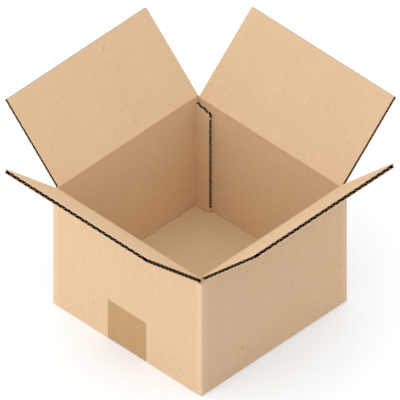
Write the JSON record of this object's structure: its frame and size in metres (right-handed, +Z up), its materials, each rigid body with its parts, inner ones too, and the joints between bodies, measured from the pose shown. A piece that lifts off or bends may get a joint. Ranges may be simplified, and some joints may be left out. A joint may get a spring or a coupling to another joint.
{
  "type": "open cardboard box",
  "caption": "Square slotted carton of single-wall corrugated board, standing open with its top flaps leaning outwards and its bottom closed by a strip of tape.",
  "frame": {"origin": "on the floor under the middle of the box", "axes": "+Z up out of the open top, -Y towards the front wall that shows a leg of the tape, +X towards the right wall"},
  "size_m": [0.317, 0.3226, 0.201],
  "materials": {
    "kraft_board": "matt",
    "tape": "satin"
  },
  "bodies": {
    "carton": {"box_body": "kraft_board", "sealing_tape": "tape"},
    "front_flap": {"front_flap": "kraft_board"},
    "right_flap": {"right_flap": "kraft_board"},
    "rear_flap": {"rear_flap": "kraft_board"},
    "left_flap": {"left_flap": "kraft_board"}
  },
  "joints": [
    {"name": "front_flap_crease", "type": "hinge", "parent": "carton", "child": "front_flap", "pos_m": [0, -0.09365, 0.13225], "axis": [1, 0, 0], "range_deg": [-136.3, 83.7]},
    {"name": "right_flap_crease", "type": "hinge", "parent": "carton", "child": "right_flap", "pos_m": [0.09205, 0, 0.13505], "axis": [0, 1, 0], "range_deg": [-135.2, 84.8]},
    {"name": "rear_flap_crease", "type": "hinge", "parent": "carton", "child": "rear_flap", "pos_m": [0, 0.09365, 0.13225], "axis": [-1, 0, 0], "range_deg": [-136.3, 83.7]},
    {"name": "left_flap_crease", "type": "hinge", "parent": "carton", "child": "left_flap", "pos_m": [-0.09205, 0, 0.13505], "axis": [0, -1, 0], "range_deg": [-135.2, 84.8]}
  ]
}
